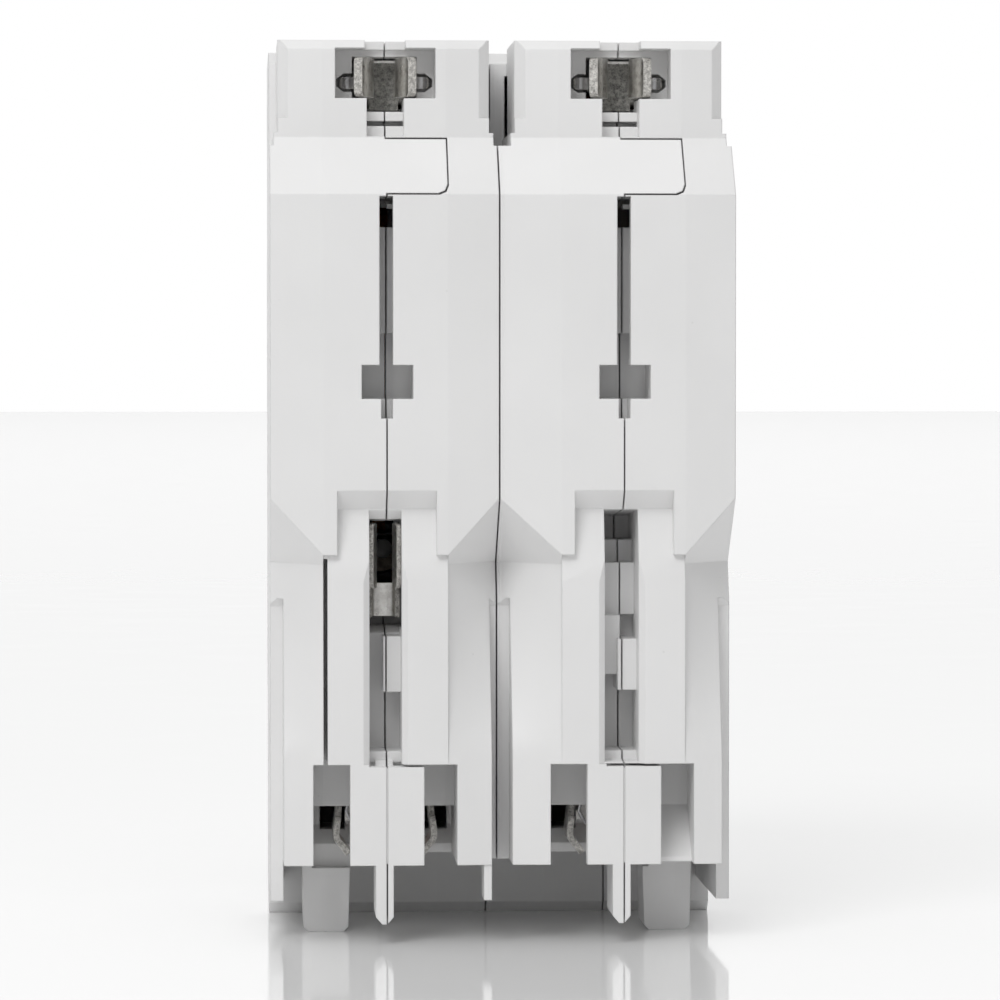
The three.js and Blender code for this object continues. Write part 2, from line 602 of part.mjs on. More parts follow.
const handleTie = () => {
  const { z } = HANDLE_PIVOT;
  const from = POLES.a.seam + 3 + FIT_GAP;
  const to = POLES.b.seam - 3 - FIT_GAP;
  const bar = join(
    block([from, to], [tiePinY - 2.4, tiePinY + 2.4], [z - 2, z + 2]),
    rod('x', [tiePinY, z], 1, from - 1.8, to + 1.8, 14),
  );
  return swing(bar, HANDLE_PIVOT, -HANDLE_OFF);
};

// ---- trip shaft and ground-fault electronics ----
const tripBar = () => {
  const { y, z, radius } = TRIP_BAR;
  const fingers = Object.values(POLES).map(({ seam }) => block([seam - 2, seam + 2], [37.7, y], [z - 1, z + 1]));
  const paddle = POLES.b.seam + SOLENOID.x;
  return join(
    rod('x', [y, z], radius, POLES.a.seam - 9.5, POLES.b.seam + 9.5, 18),
    ...fingers,
    block([paddle - 1.2, paddle + 1.2], [y, SOLENOID.y + 1.4], [z - 1.4, z + 0.4]),
  );
};

const circuitBoard = () => cut(
  block([-11.2, -9.6], [25.5, 56], [11, 46]),
  rod('x', [TRIP_BAR.y, TRIP_BAR.z], 2.2, -12, -9, 16),
  rod('x', [ARMATURE_PIVOT.y, ARMATURE_PIVOT.z], 2.4, -12, -9, 16),
  rod('x', [HANDLE_PIVOT.y, HANDLE_PIVOT.z], 6, -12, -9, 16),
);

const solenoidCoil = () => {
  const { x, y, radius } = SOLENOID;
  const profile = [[2.2, 8], [radius, 8], [radius, 9], [radius - 0.8, 9.2], [radius - 0.8, 22.8], [radius, 23],
    [radius, 24], [2.2, 24], [2.2, 8]];
  const geometry = new THREE.LatheGeometry(profile.map(([r, h]) => new THREE.Vector2(r, h)), 28);
  geometry.rotateX(Math.PI / 2);
  geometry.translate(x, y, 0);
  return toSolid(geometry);
};

const plunger = () => join(
  rod('z', [SOLENOID.x, SOLENOID.y], 1.7, 10, 34, 16),
  rod('z', [SOLENOID.x, SOLENOID.y], 3, 33, 36.1, 20),
);

const plungerSpring = () => {
  const foot = new THREE.Vector3(SOLENOID.x, SOLENOID.y, 24.6);
  const head = new THREE.Vector3(SOLENOID.x, SOLENOID.y, 32.4);
  return coil(foot, head, 2.35, 0.25, 4);
};

const testSwitch = () => block([-9.3, -1], [50, 53.5], [29, 34.5]);

const testButton = () => join(
  block([-3.5, 3.5], [60.4, 67.4], [BUTTON.z - 3.5, BUTTON.z + 3.5]),
  block([-3.5, 3.5], [60.4, 61.8], [BUTTON.z - 4.6, BUTTON.z + 4.6]),
);

const testSpring = () => {
  const foot = new THREE.Vector3(-2.6, 54.2, BUTTON.z);
  const head = new THREE.Vector3(-2.6, 60, BUTTON.z);
  return coil(foot, head, 1.1, 0.2, 4);
};

const statusLight = () => join(
  rod('y', [LIGHT.x, LIGHT.z], 1.4, 59, NOSE_DEPTH + 0.5, 16),
  rod('y', [LIGHT.x, LIGHT.z], 2, 59, 61, 16),
);

const rivet = ({ y, z }) => {
  const left = POLES.a.seam + POLES.a.left + 0.2;
  const right = POLES.b.seam + POLES.b.right - 0.2;
  return join(
    rod('x', [y, z], RIVET_RADIUS, left, right, 14),
    rod('x', [y, z], RIVET_HEAD.radius, left, left + RIVET_HEAD.height, 18),
    rod('x', [y, z], RIVET_HEAD.radius, right - RIVET_HEAD.height, right, 18),
  );
};

// ---- assembly ----
breaker.position.set(0, -DEPTH / 2, 0);

const buildPole = (name) => {
  const group = new THREE.Group();
  group.position.x = POLES[name].seam;
  breaker.add(group);
  const shells = poleCase(name);
  const add = (part, paint, solid) => addNode(group, `${part}_${name}`, paint, solid);
  addNode(group, `case_${name}_left`, 'plastic', shells.left);
  addNode(group, `case_${name}_right`, 'plastic', shells.right);
  add('line_jaw', 'tin', lineJaw());
  add('jaw_spring', 'steel', jawSpring());
  add('fixed_contact', 'silver', fixedContact());
  add('contact_arm', 'copper', contactArm());
  add('moving_contact', 'silver', movingContact());
  add('arc_chute', 'fibre', arcChute());
  add('trip_lever', 'steel', tripLever());
  add('main_spring', 'steel', mainSpring());
  add('bimetal', 'bimetal', bimetal());
  add('magnet_yoke', 'steel', magnetYoke());
  add('armature', 'steel', armature());
  add('braid', 'copper', braid());
  add('load_strap', 'copper', loadStrap());
  add('load_clip', 'tin', loadClip(name));
  add('clip_spring', 'steel', clipSpring(name));
  add('handle', 'plastic', handle(name === 'a' ? 1 : -1));
  return group;
};

const poleA = buildPole('a');
const poleB = buildPole('b');
addNode(poleA, 'neutral_jaw', 'tin', neutralJaw());
addNode(poleA, 'neutral_lead', 'dark', neutralLead());
addNode(poleA, 'sense_toroid', 'dark', senseToroid());
addNode(poleB, 'circuit_board', 'board', circuitBoard());
addNode(poleB, 'varistor', 'blue', rod('x', [31.5, 36], 4, -9.3, -5.8, 20));
addNode(poleB, 'capacitor', 'yellow', block([-9.3, -3.4], [46, 53], [14, 21]));
addNode(poleB, 'test_switch', 'dark', testSwitch());
addNode(poleB, 'status_light', 'lens', statusLight());
addNode(poleB, 'solenoid_coil', 'copper', solenoidCoil());
addNode(poleB, 'plunger', 'steel', plunger());
addNode(poleB, 'plunger_spring', 'steel', plungerSpring());
addNode(poleB, 'test_button', 'plastic', testButton());
addNode(poleB, 'test_spring', 'steel', testSpring());
addNode(breaker, 'handle_tie', 'plastic', handleTie());
addNode(breaker, 'trip_bar', 'dark', tripBar());
Object.entries(RIVETS).forEach(([name, place]) => addNode(breaker, name, 'steel', rivet(place)));

export default breaker;
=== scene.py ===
"""Looks of the two-pole ground-fault breaker: materials, soft edges, finer metal parts and studio."""
import json
import math

import bmesh
import bpy
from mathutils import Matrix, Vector


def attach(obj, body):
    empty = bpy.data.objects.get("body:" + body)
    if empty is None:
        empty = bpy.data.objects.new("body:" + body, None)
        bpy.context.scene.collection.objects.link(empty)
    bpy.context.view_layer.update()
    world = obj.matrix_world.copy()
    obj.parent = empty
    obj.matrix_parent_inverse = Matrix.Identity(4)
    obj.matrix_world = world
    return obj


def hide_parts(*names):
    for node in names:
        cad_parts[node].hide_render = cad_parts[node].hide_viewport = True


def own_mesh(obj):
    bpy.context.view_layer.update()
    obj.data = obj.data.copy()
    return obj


MM = 0.001

# The camera stands off the plug-on face, a little left of the pole seam and above mid-height.
CAMERA_SPOT = Vector((-27.8, -541.2, 61.8)) * MM
CAMERA_AIM = Vector((-0.4, -37.0, 47.6)) * MM
LENS = 170.3

# Light of the surroundings away from the background, and the two lamps in watts.
ROOM_LEVEL = 0.46
KEY_POWER = 6.6
TOP_POWER = 2.0

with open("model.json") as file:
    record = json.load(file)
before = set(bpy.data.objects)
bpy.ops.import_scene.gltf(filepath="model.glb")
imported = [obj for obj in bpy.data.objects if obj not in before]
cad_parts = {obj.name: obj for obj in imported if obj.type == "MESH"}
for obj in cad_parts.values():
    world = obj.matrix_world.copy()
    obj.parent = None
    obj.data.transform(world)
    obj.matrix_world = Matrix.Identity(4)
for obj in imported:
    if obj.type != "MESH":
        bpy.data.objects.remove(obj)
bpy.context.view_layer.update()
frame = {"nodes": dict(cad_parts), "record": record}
NODES = frame["nodes"]


# ---- shader helpers ----
class Shader:
    """One material's node tree, with short calls for the nodes that the materials share."""

    def __init__(self, name):
        self.material = bpy.data.materials.new(name)
        self.material.use_nodes = True
        self.tree = self.material.node_tree
        self.surface = self.tree.nodes["Principled BSDF"]
        self.place = self.node("ShaderNodeTexCoord").outputs["Object"]

    def node(self, kind, **values):
        made = self.tree.nodes.new(kind)
        for key, value in values.items():
            setattr(made, key, value)
        return made

    def link(self, source, target):
        self.tree.links.new(source, target)

    def feed(self, value, target):
        """Links an output, or sets a plain colour."""
        if isinstance(value, tuple):
            target.default_value = (*value, 1.0)
        else:
            self.link(value, target)

    def put(self, **values):
        """Sets constants on the surface shader's own sockets, by name with underscores for spaces."""
        for key, value in values.items():
            self.surface.inputs[key.replace("_", " ")].default_value = value

    def stretched(self, scale):
        mapping = self.node("ShaderNodeMapping")
        mapping.inputs["Scale"].default_value = scale
        self.link(self.place, mapping.inputs["Vector"])
        return mapping.outputs["Vector"]

    def noise(self, per_metre, detail=3.0, roughness=0.5, scale=(1, 1, 1)):
        made = self.node("ShaderNodeTexNoise")
        made.inputs["Scale"].default_value = per_metre
        made.inputs["Detail"].default_value = detail
        made.inputs["Roughness"].default_value = roughness
        self.link(self.stretched(scale), made.inputs["Vector"])
        return made.outputs["Fac"]

    def cells(self, per_metre, feature="F1"):
        made = self.node("ShaderNodeTexVoronoi", feature=feature)
        made.inputs["Scale"].default_value = per_metre
        self.link(self.place, made.inputs["Vector"])
        return made.outputs["Distance"]

    def ramp(self, source, stops):
        made = self.node("ShaderNodeValToRGB")
        elements = made.color_ramp.elements
        while len(elements) < len(stops):
            elements.new(0.5)
        for element, (at, colour) in zip(elements, stops):
            element.position = at
            element.color = (*colour, 1.0) if len(colour) == 3 else colour
        self.link(source, made.inputs["Fac"])
        return made.outputs["Color"]

    def spread(self, source, low, high):
        """Maps a 0 to 1 value on to a range."""
        made = self.node("ShaderNodeMapRange")
        made.inputs["To Min"].default_value = low
        made.inputs["To Max"].default_value = high
        self.link(source, made.inputs["Value"])
        return made.outputs["Result"]

    def blend(self, factor, first, second, mode="MIX"):
        made = self.node("ShaderNodeMix", data_type="RGBA", blend_type=mode)
        made.inputs["Factor"].default_value = 1.0
        if factor is not None:
            self.link(factor, made.inputs["Factor"])
        self.feed(first, made.inputs["A"])
        self.feed(second, made.inputs["B"])
        return made.outputs["Result"]

    def bump(self, layers, edge=0.0):
        """Stacks bump layers, each a height and its depth in metres, over softened edges."""
        normal = None
        if edge:
            soft = self.node("ShaderNodeBevel", samples=6)
            soft.inputs["Radius"].default_value = edge
            normal = soft.outputs["Normal"]
        for height, depth in layers:
            made = self.node("ShaderNodeBump")
            made.inputs["Strength"].default_value = 1.0
            made.inputs["Distance"].default_value = depth
            self.link(height, made.inputs["Height"])
            if normal is not None:
                self.link(normal, made.inputs["Normal"])
            normal = made.outputs["Normal"]
        self.link(normal, self.surface.inputs["Normal"])


def grey(level, warm=0.0):
    return (level + warm, level, level - warm)


# ---- materials ----
# Where the case's creases run: x is folded about the object's middle, then about each pole's middle.
CREASE_FOLDS = (0.145, 12.72)
CREASE_OUT = 6.65
CREASE_SLOPE = 0.1
SHELL_EDGE = 0.22


def crease_height(s):
    """Height in metres of faces that fall back slightly outside the plug-on bars' width."""
    across = s.node("ShaderNodeSeparateXYZ")
    s.link(s.place, across.inputs["Vector"])
    value = across.outputs["X"]
    for middle in CREASE_FOLDS:
        shifted = s.node("ShaderNodeMath", operation="SUBTRACT")
        shifted.inputs[1].default_value = middle * MM
        s.link(value, shifted.inputs[0])
        folded = s.node("ShaderNodeMath", operation="ABSOLUTE")
        s.link(shifted.outputs["Value"], folded.inputs[0])
        value = folded.outputs["Value"]
    lowest = s.node("ShaderNodeMath", operation="MAXIMUM")
    lowest.inputs[1].default_value = CREASE_OUT * MM
    s.link(value, lowest.inputs[0])
    falling = s.node("ShaderNodeMath", operation="MULTIPLY")
    falling.inputs[1].default_value = -1.0
    s.link(lowest.outputs["Value"], falling.inputs[0])
    return falling.outputs["Value"]


def moulded_plastic(name, level, warm, creased=False):
    """Satin white moulding: faint flow clouds, a fine spark texture and a few dark specks."""
    s = Shader(name)
    clouds = s.noise(70, 2.0)
    base = s.ramp(clouds, [(0.3, grey(level - 0.018, warm)), (0.7, grey(level + 0.012, warm))])
    specks = s.ramp(s.cells(330), [(0.0, grey(0.62)), (0.035, grey(0.9)), (0.06, grey(1.0))])
    rare = s.ramp(s.noise(120, 1.0), [(0.60, grey(1.0)), (0.68, grey(0.0))])
    scattered = s.blend(rare, specks, grey(1.0))
    s.link(s.blend(None, base, scattered, "MULTIPLY"), s.surface.inputs["Base Color"])
    s.link(s.spread(s.noise(900, 3.0), 0.36, 0.5), s.surface.inputs["Roughness"])
    layers = [(crease_height(s), CREASE_SLOPE)] if creased else []
    layers += [(s.noise(160, 2.0), 0.00002), (s.noise(2600, 4.0, 0.6), 0.000008)]
    s.bump(layers, edge=SHELL_EDGE * MM)
    s.put(IOR=1.5)
    return s.material


def plated_metal(name, dark, light, rough, grain):
    """Dull plated sheet: cloudy patches, fine pits and rolling lines."""
    s = Shader(name)
    patches = s.noise(grain, 5.0, 0.65)
    s.link(s.ramp(patches, [(0.32, dark), (0.5, light), (0.68, dark)]), s.surface.inputs["Base Color"])
    s.link(s.spread(s.noise(grain * 1.7, 4.0), *rough), s.surface.inputs["Roughness"])
    lines = s.noise(900, 2.0, 0.5, (1.0, 1.0, 8.0))
    s.bump([(patches, 0.00004), (lines, 0.000012)])
    s.put(Metallic=1.0)
    return s.material


def sheared_metal(name, dark, light):
    """The torn grain of a cut sheet edge."""
    s = Shader(name)
    grain = s.noise(2600, 6.0, 0.75)
    s.link(s.ramp(grain, [(0.36, dark), (0.62, light)]), s.surface.inputs["Base Color"])
    s.link(s.spread(s.noise(1500, 3.0), 0.4, 0.65), s.surface.inputs["Roughness"])
    s.bump([(grain, 0.00022), (s.cells(1500), 0.00006)])
    s.put(Metallic=0.85)
    return s.material


def dull_solid(name, dark, light, rough, grain, depth):
    """A plain non-metal with mottled colour and a matching bump."""
    s = Shader(name)
    mottle = s.noise(grain, 4.0, 0.6)
    s.link(s.ramp(mottle, [(0.3, dark), (0.7, light)]), s.surface.inputs["Base Color"])
    s.link(s.spread(s.noise(grain * 2.3, 3.0), *rough), s.surface.inputs["Roughness"])
    s.bump([(mottle, depth)])
    return s.material


def layered_fibre(name):
    """Red-brown vulcanised fibre with long pressed strands."""
    s = Shader(name)
    strands = s.noise(400, 5.0, 0.6, (1.0, 1.0, 0.15))
    brown = s.ramp(strands, [(0.3, (0.16, 0.05, 0.03)), (0.7, (0.32, 0.12, 0.07))])
    s.link(brown, s.surface.inputs["Base Color"])
    s.link(s.spread(strands, 0.6, 0.8), s.surface.inputs["Roughness"])
    s.bump([(strands, 0.00005)])
    return s.material


def coated_board(name):
    """Green solder mask over raised copper tracks."""
    s = Shader(name)
    tracks = s.ramp(s.cells(420, "DISTANCE_TO_EDGE"), [(0.08, grey(0.0)), (0.12, grey(1.0))])
    green = s.ramp(s.noise(90, 2.0), [(0.3, (0.012, 0.075, 0.022)), (0.7, (0.02, 0.11, 0.035))])
    raised = s.ramp(s.noise(300, 1.0), [(0.4, (0.03, 0.16, 0.05)), (0.6, (0.04, 0.19, 0.06))])
    s.link(s.blend(tracks, raised, green), s.surface.inputs["Base Color"])
    s.link(s.spread(s.noise(500), 0.22, 0.38), s.surface.inputs["Roughness"])
    s.bump([(tracks, 0.00004)])
    return s.material


def tinted_lens(name):
    """Cloudy green lens of the status light."""
    s = Shader(name)
    green = s.ramp(s.noise(500), [(0.3, (0.2, 0.62, 0.26)), (0.7, (0.3, 0.75, 0.36))])
    s.link(green, s.surface.inputs["Base Color"])
    s.link(s.spread(s.noise(900), 0.08, 0.2), s.surface.inputs["Roughness"])
    s.bump([(s.noise(1400), 0.00001)])
    s.put(Transmission_Weight=0.35, IOR=1.49)
    return s.material


# Plated and sheet metals: name, dark and light tones, roughness range, grain per metre.
PLATED = {
    "tin": ("tin_plate", (0.66, 0.64, 0.61), (0.93, 0.92, 0.89), (0.2, 0.42), 700),
    "steel": ("spring_steel", (0.36, 0.36, 0.37), (0.6, 0.6, 0.61), (0.2, 0.38), 420),
    "copper": ("copper_sheet", (0.5, 0.2, 0.11), (0.83, 0.42, 0.27), (0.22, 0.45), 500),
    "silver": ("contact_silver", (0.66, 0.65, 0.62), (0.9, 0.89, 0.86), (0.15, 0.35), 900),
    "bimetal": ("bimetal_strip", (0.34, 0.29, 0.24), (0.56, 0.5, 0.43), (0.28, 0.45), 600),
}

# Cut sheet, and worn sheet darkened with painted shade: name, dark and light tones.
SHEARED = {
    "tin_cut": ("tin_cut_edge", (0.34, 0.33, 0.31), (0.9, 0.88, 0.84)),
    # Much darker tin for the line jaws' back plate: painted shade of the deep jaw, with worn grain
    # over it.
    "tin_wear_and_shade": ("tin_worn_face", (0.2, 0.2, 0.19), (0.6, 0.59, 0.56)),
}

# Plain solids: name, dark and light tones, roughness range, grain per metre, depth in metres.
DULL = {
    "dark": ("black_moulding", grey(0.012), grey(0.03), (0.4, 0.6), 900, 0.00003),
    "blue": ("blue_epoxy", (0.02, 0.06, 0.2), (0.03, 0.09, 0.28), (0.25, 0.4), 500, 0.00004),
    "yellow": ("film_box", (0.5, 0.32, 0.03), (0.62, 0.42, 0.05), (0.35, 0.5), 400, 0.00003),
}


def make_materials():
    made = {
        "case_plastic": moulded_plastic("white_moulding", 0.82, 0.002, creased=True),
        "control_plastic": moulded_plastic("white_control", 0.82, 0.004),
        "fibre": layered_fibre("arc_fibre"),
        "board": coated_board("solder_mask"),
        "lens": tinted_lens("light_lens"),
    }
    for table, maker in ((PLATED, plated_metal), (SHEARED, sheared_metal), (DULL, dull_solid)):
        for key, values in table.items():
            made[key] = maker(*values)
    return made


MATERIALS = make_materials()
SLOTS = {part["node"]: part["material_slot"] for part in frame["record"]["subparts"]}
# Vertices closer than this, in mm, are one.
SAME_SPOT = 0.002
CONTROLS = ("handle_a", "handle_b", "handle_tie", "test_button")


def dress(name, node):
    """Gives a CAD node its procedural material."""
    key = "control_plastic" if name in CONTROLS else SLOTS[name]
    node.data.materials.clear()
    node.data.materials.append(MATERIALS[key])
    for face in node.data.polygons:
        face.material_index = 0


def round_edges(node, width, segments=2, angle=32.0):
    """Rounds a CAD node's edges without touching its own vertices."""
    node.modifiers.new("merge", "WELD").merge_threshold = SAME_SPOT * MM
    flat = node.modifiers.new("flatten", "DECIMATE")
    flat.decimate_type = "DISSOLVE"
    flat.angle_limit = math.radians(0.6)
    bevel = node.modifiers.new("round", "BEVEL")
    bevel.width = width * MM
    bevel.segments = segments
    bevel.limit_method = "ANGLE"
    bevel.angle_limit = math.radians(angle)
    bevel.use_clamp_overlap = False
    bevel.miter_outer = "MITER_ARC"
    bevel.harden_normals = True
    for face in node.data.polygons:
        face.use_smooth = True


def smooth_curved_walls(node, angle=20.0):
    """Shades a shell's twisted walls smoothly and keeps its flat walls and corners crisp."""
    node.modifiers.new("merge", "WELD").merge_threshold = SAME_SPOT * MM
    split = node.modifiers.new("corners", "EDGE_SPLIT")
    split.split_angle = math.radians(angle)
    split.use_edge_sharp = False
    weighted = node.modifiers.new("flat_walls", "WEIGHTED_NORMAL")
    weighted.mode = "FACE_AREA"
    weighted.weight = 80
    spare = node.data.attributes.get("custom_normal")
    if spare:
        node.data.attributes.remove(spare)
    for face in node.data.polygons:
        face.use_smooth = True


def finish_nodes():
    for name, node in NODES.items():
        dress(name, node)
        if name in CONTROLS:
            round_edges(node, 0.35, 3)
        elif name.startswith("case_"):
            smooth_curved_walls(node)
        else:
            round_edges(node, 0.1)


finish_nodes()


# ---- finer pieces ----
POLE_SEAMS = {"a": -12.45, "b": 12.95}
REAR = -37.0


def smooth_path(points, steps=8):
    """Samples a Catmull-Rom curve through the points, ends kept."""
    padded = [points[0], *points, points[-1]]
    path = []
    for p0, p1, p2, p3 in zip(padded, padded[1:], padded[2:], padded[3:]):
        for k in range(steps):
            t = k / steps
            path.append(tuple(
                0.5 * (2 * b + (c - a) * t + (2 * a - 5 * b + 4 * c - d) * t * t
                       + (3 * b - a - 3 * c + d) * t ** 3)
                for a, b, c, d in zip(p0, p1, p2, p3)))
    return [*path, tuple(points[-1])]


def mirrored(half):
    """A path and its mirror image about the first coordinate, joined at the far end."""
    return [*half, *[(-a, b) for a, b in reversed(half)]]


def offset_path(path, distance):
    """The path moved sideways by a distance."""
    moved = []
    for k, (a, b) in enumerate(path):
        pa, pb = path[max(k - 1, 0)]
        na, nb = path[min(k + 1, len(path) - 1)]
        length = math.hypot(na - pa, nb - pb)
        moved.append((a - (nb - pb) / length * distance, b + (na - pa) / length * distance))
    return moved


def corner_cut(distance, radius):
    """How far a rounded corner draws back the side at this distance from the end."""
    if distance >= radius:
        return 0.0
    return radius - math.sqrt(radius ** 2 - (radius - distance) ** 2)


class Ribbon:
    """Closed sheet-metal strips in one mesh, each swept along a path and given a width across it."""

    def __init__(self, name, place):
        self.name = name
        self.place = place
        self.mesh = bmesh.new()

    def add(self, path, thickness, low, high, corner=0.0, layers=6, face=0, edge=0, wobble=0.0):
        """place turns (path a, path b, across) in mm into a point; corner rounds the free ends."""
        sides = [offset_path(path, thickness / 2), offset_path(path, -thickness / 2)]
        travel = [0.0]
        for (a, b), (c, d) in zip(path, path[1:]):
            travel.append(travel[-1] + math.hypot(c - a, d - b))
        grid = []
        for which, side in enumerate(sides):
            rows = []
            for k, (a, b) in enumerate(side):
                trim = corner_cut(min(travel[k], travel[-1] - travel[k]), corner) if corner else 0.0
                row = []
                for j in range(layers + 1):
                    across = low + trim + (high - low - 2 * trim) * j / layers
                    shift = wobble * math.sin(3.1 * travel[k] + 2.3 * across + which)
                    row.append(self.mesh.verts.new(self.place(a + shift, b, across)))
                rows.append(row)
            grid.append(rows)
        self.wall(grid[0], face)
        self.wall([row[::-1] for row in grid[1]], face)
        for column in (0, layers):
            self.wall([[row_a[column], row_b[column]] for row_a, row_b in zip(*grid)], edge)
        for end in (0, -1):
            self.wall([list(pair) for pair in zip(grid[0][end], grid[1][end])], edge)

    def wall(self, rows, material):
        """Fills a grid of vertices with faces of one material."""
        for first, second in zip(rows, rows[1:]):
            for a, b, c, d in zip(first, first[1:], second[1:], second):
                made = self.mesh.faces.new((a, b, c, d))
                made.material_index = material
                made.smooth = True

    def finish(self, materials, body, node=None, round_by=0.1):
        """Makes the object, rounds its edges and hands it to the row's frame."""
        bmesh.ops.recalc_face_normals(self.mesh, faces=self.mesh.faces)
        data = bpy.data.meshes.new(self.name)
        self.mesh.to_mesh(data)
        self.mesh.free()
        piece = bpy.data.objects.new(self.name, data)
        bpy.context.scene.collection.objects.link(piece)
        for key in materials:
            data.materials.append(MATERIALS[key])
        bevel = piece.modifiers.new("round", "BEVEL")
        bevel.width = round_by * MM
        bevel.segments = 3
        bevel.limit_method = "ANGLE"
        bevel.angle_limit = math.radians(40)
        bevel.harden_normals = True
        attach(piece, body)
        if node:
            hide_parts(node)
        return piece


def pole_place(pole, order):
    """Maps (first, second, across) on to a pole's x, depth behind the rear face and height."""
    def place(*values):
        named = dict(zip(order, values))
        return Vector((POLE_SEAMS[pole] + named["x"], REAR + named["y"], named["z"])) * MM
    return place


def make_line_jaw(pole):
    """Lyre-shaped stab jaw with flared lips, its worn back plate in darker tin as painted shade, and
    the strap into the pole.
    """
    lyre = [(-2.92, 6.1), (-2.66, 6.8), (-2.14, 7.7), (-1.7, 8.6), (-1.6, 9.5), (-1.85, 10.5),
            (-2.25, 11.5), (-2.3, 12.3), (-2.1, 13.1), (-1.2, 13.4)]
    jaw = Ribbon(f"line_jaw_fine_{pole}", pole_place(pole, "xyz"))
    jaw.add(smooth_path(mirrored(lyre)), 0.94, 90.95, 95.2, corner=0.7, layers=8, edge=1)
    # The back plate takes the third material: darker tin as painted shade of the deep jaw, with worn
    # grain.
    jaw.add([(-1.6, 12.75), (-0.5, 12.7), (0.6, 12.8), (1.6, 12.75)], 0.3, 89.75, 94.9, layers=8,
            face=2, edge=1, wobble=0.03)
    jaw.place = pole_place(pole, "yzx")
    jaw.add(smooth_path([(13.4, 91.6), (14.2, 90.95), (17.5, 90.9), (22.6, 90.9), (23.5, 90.2),
                         (23.6, 86.0), (23.6, 79.55)]), 1.0, -2.48, 2.48, layers=4)
    jaw.finish(["tin", "tin_cut", "tin_wear_and_shade"], "case", f"line_jaw_{pole}")


def make_jaw_spring(pole):
    """The spring leaf that squeezes a line jaw, with curled ends in the side slots."""
    leaf = [(-4.75, 9.75), (-4.3, 10.05), (-3.7, 10.15), (-3.2, 10.6), (-3.05, 11.4), (-3.05, 13.3),
            (-2.9, 14.15), (-2.0, 14.4)]
    spring = Ribbon(f"jaw_spring_fine_{pole}", pole_place(pole, "xyz"))
    spring.add(smooth_path(mirrored(leaf)), 0.34, 91.95, 93.25, corner=0.35, edge=1)
    spring.finish(["steel", "tin_cut"], "case", f"jaw_spring_{pole}", 0.06)


def make_neutral_jaw():
    """The narrow plug-on neutral jaw in the left pole's slot."""
    cheek = [(-1.5, 2.75), (-1.28, 3.4), (-1.08, 4.3), (-1.12, 5.2), (-1.4, 6.3), (-1.52, 7.6),
             (-1.5, 9.4), (-1.35, 10.7), (-0.6, 11.0)]
    place = pole_place("a", "xyz")
    jaw = Ribbon("neutral_jaw_fine", lambda x, y, z: place(x - 0.15, y, z))
    for side in (1, -1):
        shape = smooth_path([(side * a, b) for a, b in cheek[:7]])
        jaw.add(shape, 0.5, 38.05, 44.95, corner=0.6, layers=8, edge=1)
    leg = [(-1.5, 8.3), (-1.5, 9.4), (-1.35, 10.7), (-0.6, 11.0)]
    jaw.add(smooth_path(mirrored(leg)), 0.5, 34.65, 38.3, edge=1)
    jaw.finish(["tin", "tin_cut"], "case", "neutral_jaw")


def make_load_clip(pole):
    """The bent conductor clip in the lower windows, with its spring leaf."""
    arm = [(-3.95, 8.95), (-4.6, 9.85), (-5.2, 10.6), (-5.3, 11.4), (-5.1, 13.0), (-4.95, 14.4),
           (-4.65, 16.25)]
    right = [(-a, b) for a, b in reversed(arm)] if pole == "a" else [(2.9, 16.25)]
    clip = Ribbon(f"load_clip_fine_{pole}", pole_place(pole, "xzy"))
    far_side = smooth_path(right) if pole == "a" else right
    clip.add([*smooth_path(arm), *far_side], 0.7, 9.8, 13.25, layers=6, edge=1)
    clip.add(smooth_path(arm[:5]), 0.7, 7.65, 9.85, corner=0.5, layers=4, edge=1)
    if pole == "a":
        clip.add(smooth_path([(-a, b) for a, b in arm[:5]]), 0.7, 7.65, 9.85, corner=0.5, edge=1)
    clip.add([(-4.3, 13.9), (0.0, 13.9), (2.8, 13.9)], 3.6, 13.2, 13.75, layers=2)
    clip.finish(["tin", "tin_cut"], "case", f"load_clip_{pole}", 0.08)


def make_seam_bead(pole):
    """The flush tongue that closes the seam of the lower plate, leaving only a faint line."""
    bead = Ribbon(f"seam_bead_{pole}", pole_place(pole, "xyz"))
    bead.add([(0.0, 0.03), (0.0, 0.5), (0.0, 1.4)], 0.12, 8.7, 18.9, layers=10)
    bead.finish(["case_plastic"], "case", round_by=0.02)


def make_test_spring():
    """Round-wire coil behind the test button."""
    turns, radius, wire = 5.0, 1.05, 0.17
    middle = Vector((POLE_SEAMS["b"] - 2.6, REAR + 54.3, 32.0))
    length = 5.7
    curve = bpy.data.curves.new("test_spring_path", "CURVE")
    curve.dimensions = "3D"
    curve.bevel_depth = wire * MM
    curve.bevel_resolution = 2
    line = curve.splines.new("POLY")
    count = int(turns * 20)
    line.points.add(count)
    for k, point in enumerate(line.points):
        angle = 2 * math.pi * turns * k / count
        at = middle + Vector((radius * math.cos(angle), length * k / count, radius * math.sin(angle)))
        point.co = (*(at * MM), 1.0)
    path = bpy.data.objects.new("test_spring_path", curve)
    data = bpy.data.meshes.new_from_object(path)
    bpy.data.objects.remove(path)
    spring = bpy.data.objects.new("test_spring_fine", data)
    bpy.context.scene.collection.objects.link(spring)
    data.materials.clear()
    data.materials.append(MATERIALS["steel"])
    for face in data.polygons:
        face.use_smooth = True
    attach(spring, "case")
    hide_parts("test_spring")
    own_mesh(spring)


def add_fine_pieces():
    make_test_spring()
    for pole in POLE_SEAMS:
        make_seam_bead(pole)
        make_line_jaw(pole)
        make_jaw_spring(pole)
        make_load_clip(pole)
    make_neutral_jaw()


add_fine_pieces()


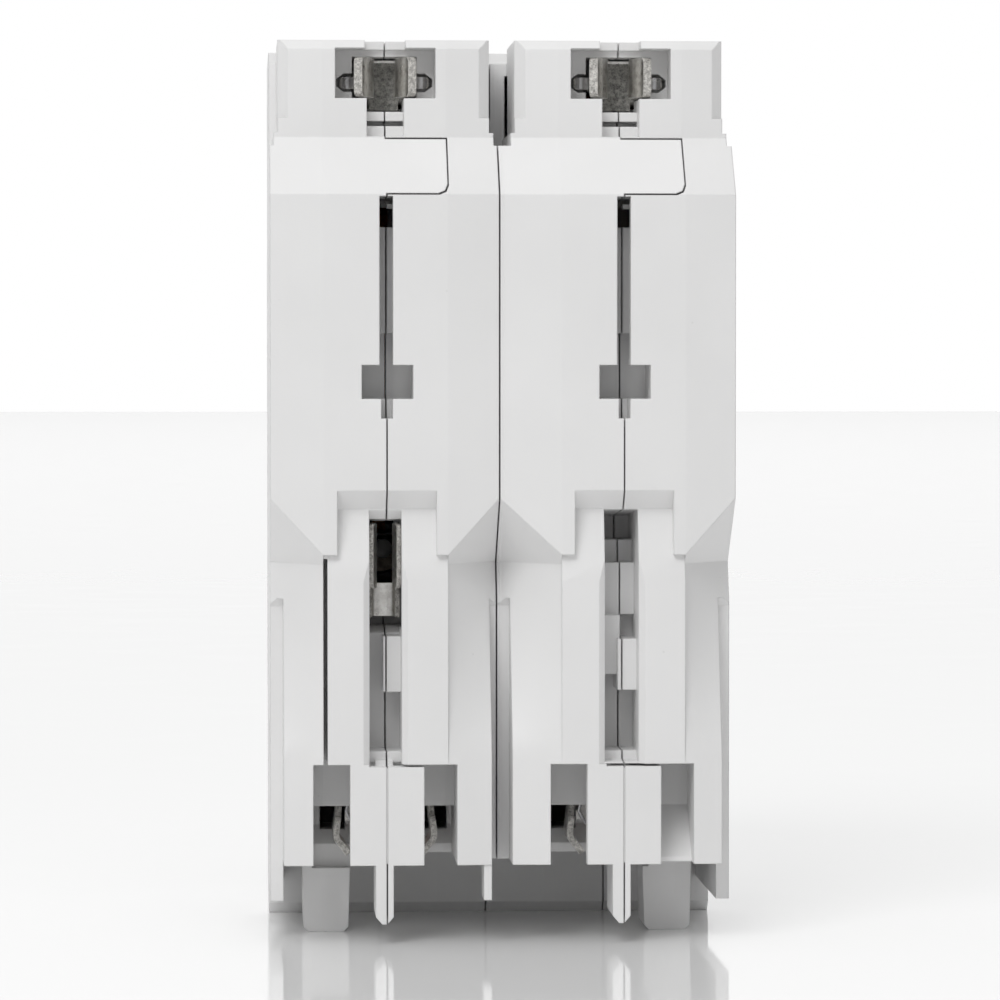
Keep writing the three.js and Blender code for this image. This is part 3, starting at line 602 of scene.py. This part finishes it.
# ---- studio ----
def add_floor():
    """A wide pale glossy floor under the object."""
    half = 6.0
    mesh = bpy.data.meshes.new("studio_floor")
    corners = [(-half, -half, 0), (half, -half, 0), (half, half, 0), (-half, half, 0)]
    mesh.from_pydata(corners, [], [(0, 1, 2, 3)])
    floor = bpy.data.objects.new("studio_floor", mesh)
    bpy.context.scene.collection.objects.link(floor)
    s = Shader("floor_gloss")
    s.link(s.ramp(s.noise(3), [(0.3, grey(0.97)), (0.7, grey(0.98))]), s.surface.inputs["Base Color"])
    s.link(s.spread(s.noise(40), 0.05, 0.08), s.surface.inputs["Roughness"])
    s.put(IOR=1.45)
    mesh.materials.append(s.material)


def add_light(name, spot, aim, size, power):
    """A rectangular lamp at a spot, turned towards its aim."""
    data = bpy.data.lights.new(name, "AREA")
    data.shape = "RECTANGLE"
    data.size, data.size_y = size
    data.energy = power
    light = bpy.data.objects.new(name, data)
    light.location = spot
    light.rotation_euler = (Vector(aim) - Vector(spot)).to_track_quat("-Z", "Y").to_euler()
    bpy.context.scene.collection.objects.link(light)


def add_world():
    """Soft grey surroundings that turn white behind the object."""
    world = bpy.data.worlds.new("studio_white")
    world.use_nodes = True
    tree = world.node_tree
    tree.nodes["Background"].inputs["Color"].default_value = (1, 1, 1, 1)
    direction = tree.nodes.new("ShaderNodeTexCoord").outputs["Generated"]
    facing = tree.nodes.new("ShaderNodeVectorMath")
    facing.operation = "DOT_PRODUCT"
    facing.inputs[1].default_value = (0, 1, 0)
    tree.links.new(direction, facing.inputs[0])
    level = tree.nodes.new("ShaderNodeMapRange")
    level.interpolation_type = "SMOOTHSTEP"
    level.inputs["From Min"].default_value = 0.35
    level.inputs["From Max"].default_value = 0.85
    level.inputs["To Min"].default_value = ROOM_LEVEL
    level.inputs["To Max"].default_value = 1.0
    tree.links.new(facing.outputs["Value"], level.inputs["Value"])
    tree.links.new(level.outputs["Result"], tree.nodes["Background"].inputs["Strength"])
    bpy.context.scene.world = world


def add_studio():
    add_world()
    middle = (0.0, 0.0, 0.05)
    add_light("key_left_above", (-0.45, -0.9, 0.95), middle, (0.6, 0.6), KEY_POWER)
    add_light("top_soft", (0.0, -0.25, 1.0), middle, (0.8, 0.8), TOP_POWER)
    bpy.context.scene.view_settings.view_transform = "Standard"
    bpy.context.scene.view_settings.look = "None"


def add_camera():
    data = bpy.data.cameras.new("view")
    data.lens = LENS
    data.sensor_width = 36.0
    data.clip_start, data.clip_end = 0.01, 50.0
    camera = bpy.data.objects.new("view", data)
    camera.location = CAMERA_SPOT
    camera.rotation_euler = (CAMERA_AIM - CAMERA_SPOT).to_track_quat("-Z", "Y").to_euler()
    bpy.context.scene.collection.objects.link(camera)
    bpy.context.scene.camera = camera


add_floor()
add_studio()
add_camera()
